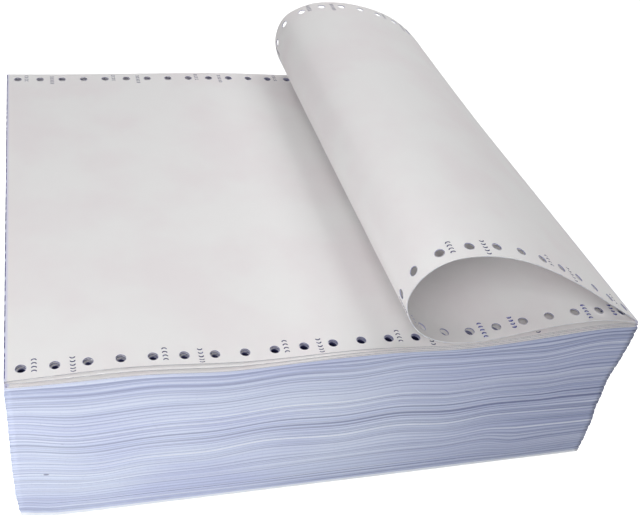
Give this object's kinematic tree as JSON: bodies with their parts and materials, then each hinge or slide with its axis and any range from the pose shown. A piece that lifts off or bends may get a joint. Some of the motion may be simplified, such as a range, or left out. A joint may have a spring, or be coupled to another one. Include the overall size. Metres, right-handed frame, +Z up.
{
  "type": "fanfold continuous form paper",
  "caption": "Pile of fanfold continuous form paper with feed holes along both edges and its top page curled over in an open loop.",
  "frame": {"origin": "middle of the base of the pile's bounding box, on the surface it stands on", "axes": "+X along the web towards the right-hand folds, +Y towards the back edge, +Z up"},
  "size_m": [0.2842, 0.2414, 0.1404],
  "materials": {
    "form_paper": "matt uncoated paper, white on its faces, with a blue tint at its cut edges and holes"
  },
  "bodies": {
    "root": {"fanfold_paper": "form_paper"}
  },
  "joints": []
}
